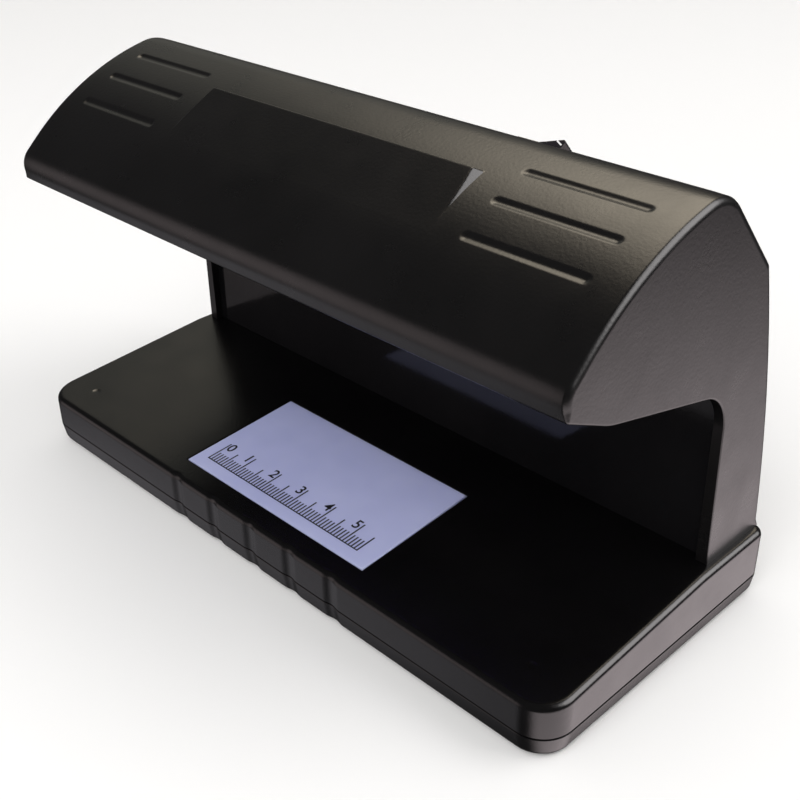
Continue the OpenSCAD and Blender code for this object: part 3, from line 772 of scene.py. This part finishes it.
def make_digit(number):
    """Number of a centimetre, beside its tick."""
    curve = bpy.data.curves.new(f"digit_{number}", "FONT")
    curve.body = str(number)
    curve.size = DIGIT_SIZE * MM
    curve.align_x = "CENTER"
    curve.extrude = PRINT_H / 2 * MM
    curve.offset = DIGIT_SWELL * MM
    text = bpy.data.objects.new("text", curve)
    bpy.context.scene.collection.objects.link(text)
    graph = bpy.context.evaluated_depsgraph_get()
    mesh = bpy.data.meshes.new_from_object(text.evaluated_get(graph))
    bpy.data.objects.remove(text)
    digit = bpy.data.objects.new(f"ruler_digit_{number}", mesh)
    bpy.context.scene.collection.objects.link(digit)
    x = RULER_X + number * 10 + (DIGIT_ASIDE if number == 0 else -DIGIT_ASIDE)
    place = Vector(on_deck(x, along_at(DIGIT_Y), 0.0)) * MM
    mesh.transform(Matrix.Translation(place) @ Matrix.Rotation(DECK_TILT, 4, "X"))
    finish_piece(digit, "housing", BLACK_INK, "shell_black")


# ---------------------------------------------------------------- carried-over CAD parts
def dress(names, material, bevel=0.0, angle=35):
    """Gives CAD nodes their material, and rounds their sharp edges."""
    for name in names:
        piece = nodes[name]
        piece.data.materials.clear()
        piece.data.materials.append(material)
        if bevel:
            weld = piece.modifiers.new("weld", "WELD")
            weld.merge_threshold = 1e-6
            soften(piece, bevel, angle)


# Ends, half width and front-to-back extent of the painted highlight on the rocker's front side, in
# millimetres in the switch's frame on the slope.
HIGHLIGHT_START = (3.4, 3.45)
HIGHLIGHT_STOP = (4.9, 2.75)
HIGHLIGHT_HALF_W = 0.17
HIGHLIGHT_YS = (-3.78, -3.86)


def make_rocker_mark():
    """Painted highlight: a thin white bar along the raised end of the rocker's front side, standing in for
    the bright line that light draws there.
    """
    start, stop = Vector(HIGHLIGHT_START), Vector(HIGHLIGHT_STOP)
    along = (stop - start).normalized()
    across = Vector((-along.y, along.x)) * HIGHLIGHT_HALF_W
    corners = (start - across, stop - across, stop + across, start + across)
    mark = loft("rocker_painted_highlight", [[(p.x, y, p.y) for p in corners] for y in HIGHLIGHT_YS])
    mark.data.transform(slope_frame())
    soften(mark, 0.03)
    finish_piece(mark, "rocker", PAINTED_HIGHLIGHT_WHITE, "white_plastic")


# ---------------------------------------------------------------- stage
LIT_PLACE = (0, 0, 0.05)

# Round patches of the surroundings seen in reflections: direction, the cosines where the patch starts
# and where it is full, colour and strength. The last one is an even glow from all sides.
ROUND_PATCHES = (
    ((-0.27, 0.45, 0.80), 0.875, 1.0, (1.0, 0.88, 0.70), 5.0),
    ((-0.70, 0.50, 0.50), 0.85, 1.0, (0.95, 0.95, 0.82), 0.25),
    ((-0.62, -0.77, -0.05), 0.86, 1.0, (1.0, 0.85, 0.85), 0.8),
    ((0.67, 0.44, 0.54), 0.82, 0.95, (1.0, 0.97, 0.97), 6.0),
    ((0, 0, 1), -1.1, -1.0, (1.0, 0.98, 1.0), 0.05))


def area_light(name, at, size, power, colour):
    """Square light that faces the object and is left out of its reflections."""
    data = bpy.data.lights.new(name, "AREA")
    data.shape = "RECTANGLE"
    data.size = size
    data.size_y = size
    data.energy = power
    data.color = colour
    light = bpy.data.objects.new(name, data)
    light.location = at
    light.rotation_euler = (Vector(LIT_PLACE) - Vector(at)).to_track_quat("-Z", "Y").to_euler()
    light.visible_camera = False
    light.visible_glossy = False
    bpy.context.scene.collection.objects.link(light)


def lobe(tree, direction, axis, start, full):
    """Smooth patch of 0 to 1 round a direction, from the cosines where it starts and where it is full."""
    dot = add_node(tree, "ShaderNodeVectorMath", operation="DOT_PRODUCT")
    dot.inputs[1].default_value = Vector(axis).normalized()
    tree.links.new(direction, dot.inputs[0])
    ramp = add_node(tree, "ShaderNodeMapRange", interpolation_type="SMOOTHSTEP")
    ramp.inputs["From Min"].default_value = start
    ramp.inputs["From Max"].default_value = full
    tree.links.new(dot.outputs["Value"], ramp.inputs["Value"])
    return ramp.outputs["Result"]


def product(tree, a, b):
    """Product of two values."""
    node = add_node(tree, "ShaderNodeMath", operation="MULTIPLY")
    tree.links.new(a, node.inputs[0])
    tree.links.new(b, node.inputs[1])
    return node.outputs["Value"]


def patch(tree, source, colour, strength):
    """Background light of one colour, as strong as source says."""
    node = add_node(tree, "ShaderNodeMath", operation="MULTIPLY")
    node.inputs[1].default_value = strength
    tree.links.new(source, node.inputs[0])
    light = add_node(tree, "ShaderNodeBackground")
    light.inputs["Color"].default_value = (*colour, 1)
    tree.links.new(node.outputs["Value"], light.inputs["Strength"])
    return light.outputs["Background"]


def make_world():
    """Even pale surroundings, and for reflections alone a dark room with soft bright patches."""
    world = bpy.data.worlds.new("studio")
    world.use_nodes = True
    tree = world.node_tree
    even = tree.nodes["Background"]
    even.inputs["Color"].default_value = (1.0, 0.99, 0.98, 1)
    even.inputs["Strength"].default_value = 0.7
    coordinates = add_node(tree, "ShaderNodeTexCoord")
    direction = coordinates.outputs["Generated"]
    low_right = product(tree, lobe(tree, direction, (1, 0, 0), 0.0, 0.4),
                        lobe(tree, direction, (0, 0, -1), 0.26, 0.62))
    low_left = product(tree, lobe(tree, direction, (-0.70, -0.50, -0.51), 0.84, 1.0),
                       lobe(tree, direction, (0, 0, -1), 0.40, 0.54))
    patches = [patch(tree, low_right, (1.0, 0.88, 0.90), 2.05),
               patch(tree, low_left, (0.97, 0.93, 1.0), 0.42)]
    for axis, start, full, colour, strength in ROUND_PATCHES:
        patches.append(patch(tree, lobe(tree, direction, axis, start, full), colour, strength))
    total = patches[0]
    for item in patches[1:]:
        joined = add_node(tree, "ShaderNodeAddShader")
        tree.links.new(total, joined.inputs[0])
        tree.links.new(item, joined.inputs[1])
        total = joined.outputs["Shader"]
    path = add_node(tree, "ShaderNodeLightPath")
    choice = add_node(tree, "ShaderNodeMixShader")
    tree.links.new(path.outputs["Is Glossy Ray"], choice.inputs["Fac"])
    tree.links.new(even.outputs["Background"], choice.inputs[1])
    tree.links.new(total, choice.inputs[2])
    tree.links.new(choice.outputs["Shader"], tree.nodes["World Output"].inputs["Surface"])
    bpy.context.scene.world = world


def make_stage():
    """Pale floor, surroundings and lights."""
    bm = bmesh.new()
    bmesh.ops.create_grid(bm, x_segments=2, y_segments=2, size=4.0)
    floor = new_object("floor", bm)
    material, _, shader = node_material("floor_paper")
    shader.inputs["Base Color"].default_value = (0.92, 0.92, 0.92, 1)
    shader.inputs["Roughness"].default_value = 0.9
    floor.data.materials.append(material)
    floor.visible_glossy = False
    make_world()
    area_light("key", (0.25, -0.9, 0.95), 0.9, 9, (1.0, 0.99, 0.98))
    area_light("fill", (0.7, 0.6, 1.0), 0.8, 5, (1.0, 0.98, 0.96))
    bpy.context.scene.view_settings.view_transform = "Standard"


# ---------------------------------------------------------------- build
make_hood()
make_deck()
make_cover()
make_window()
make_ruler()
# Painted highlight: a white bar on the rocker's front side.
make_rocker_mark()
dress(["rear_cover", "lamp_cover"], HOOD_PLASTIC, 0.25)
dress(["bay_back_panel"], GLOSS_PLASTIC)
dress(["switch_frame", "switch_rocker"], SWITCH_PLASTIC, 0.2, 30)
dress(["rubber_feet", "cord_grommet"], DARK_RUBBER, 0.25)
dress(["window_gasket"], DARK_RUBBER)
dress(["base_screws", "light_box_screws", "rear_cover_screws", "lamp_cover_screws", "reflector_screws",
       "lamp_holder_screws", "ballast_screws", "rocker_pin"], STEEL, 0.12)
dress(["light_box", "lamp_holder_left", "lamp_holder_right"], WHITE_PLASTIC, 0.2)
dress(["led_board"], WHITE_BOARD)
dress(["led_lamps"], LED_LENS, 0.15)
dress(["reflector"], BRIGHT_SHEET)
dress(["uv_tube"], TUBE_GLASS)
dress(["tube_end_caps"], CAP_METAL, 0.3)
dress(["tube_pins", "switch_terminals"], BRASS, 0.15)
dress(["ballast_board"], GREEN_BOARD)
dress(["transformer"], DARK_CORE, 0.2)
dress(["capacitors"], BLUE_SLEEVE, 0.3)
dress(["ballast_terminals"], GREEN_TERMINAL, 0.2)
make_stage()
